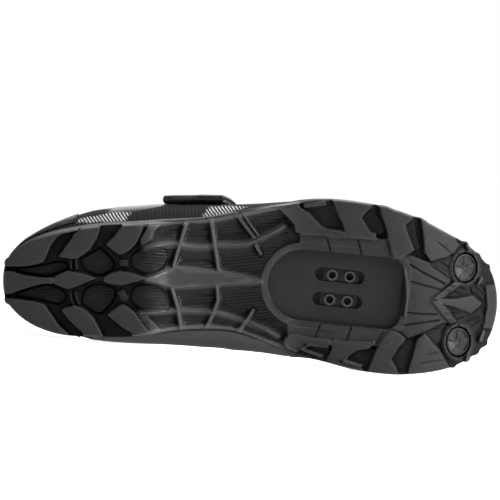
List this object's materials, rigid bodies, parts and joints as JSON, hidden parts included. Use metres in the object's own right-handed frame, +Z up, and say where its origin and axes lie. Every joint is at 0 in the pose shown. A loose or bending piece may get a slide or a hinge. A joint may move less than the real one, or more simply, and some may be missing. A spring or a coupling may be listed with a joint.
{
  "type": "cycling shoe",
  "caption": "Right off-road cycling shoe lying on its medial side: lugged rubber sole with a cleat window and sliding nut plate, hollow upper, tongue and hook and loop straps.",
  "frame": {"origin": "middle of the bounding box, on the floor that the shoe lies on", "axes": "+X towards the toe, +Y from the sole towards the collar, +Z up from the floor; the shoe lies on its medial side"},
  "size_m": [0.2822, 0.13, 0.0953],
  "materials": {
    "outsole": "semi-matt moulded rubber",
    "plate": "smooth moulded nylon",
    "steel": "dull plated steel",
    "plug": "satin",
    "insole": "brushed textile over foam",
    "upper": "satin synthetic leather and mesh",
    "tongue": "padded mesh",
    "counter": "smooth moulded",
    "strap": "glossy coated strap"
  },
  "bodies": {
    "shoe": {"outsole": "outsole", "midsole_plate": "plate", "stud_plug_lateral": "plug", "stud_plug_medial": "plug", "insole": "insole", "upper": "upper", "tongue": "tongue", "heel_counter": "counter", "instep_strap": "strap", "forefoot_strap": "strap"},
    "nut_plate": {"cleat_nut_plate": "steel"}
  },
  "joints": [
    {"name": "nut_plate_slide", "type": "slide", "parent": "shoe", "child": "nut_plate", "axis": [1, 0.0052, 0.0051], "range_m": [-0.0063, 0.0047]}
  ]
}
